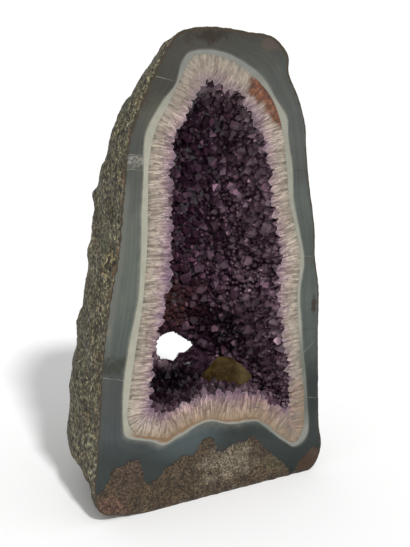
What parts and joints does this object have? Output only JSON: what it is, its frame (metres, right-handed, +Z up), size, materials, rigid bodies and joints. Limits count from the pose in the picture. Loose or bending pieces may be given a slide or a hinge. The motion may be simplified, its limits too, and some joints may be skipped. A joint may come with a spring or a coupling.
{
  "type": "amethyst geode",
  "caption": "Tall standing geode with a flat polished front: agate rim, deep hollow lined with purple quartz points, a hole through its back and a calcite crystal inside.",
  "frame": {"origin": "on the ground, under the middle of the geode's bounding box", "axes": "+Z up; the polished front face looks along -Y; +X to the right of someone who looks at that face"},
  "size_m": [0.3408, 0.242, 0.601],
  "materials": {
    "stone": "rough brown skin, front face polished to grey-blue agate",
    "amethyst": "glassy purple crystal points over milky white quartz, front edge polished",
    "calcite": "waxy olive tan"
  },
  "bodies": {
    "root": {"geode_shell": "stone", "amethyst_crust": "amethyst", "calcite_crystal": "calcite"}
  },
  "joints": []
}
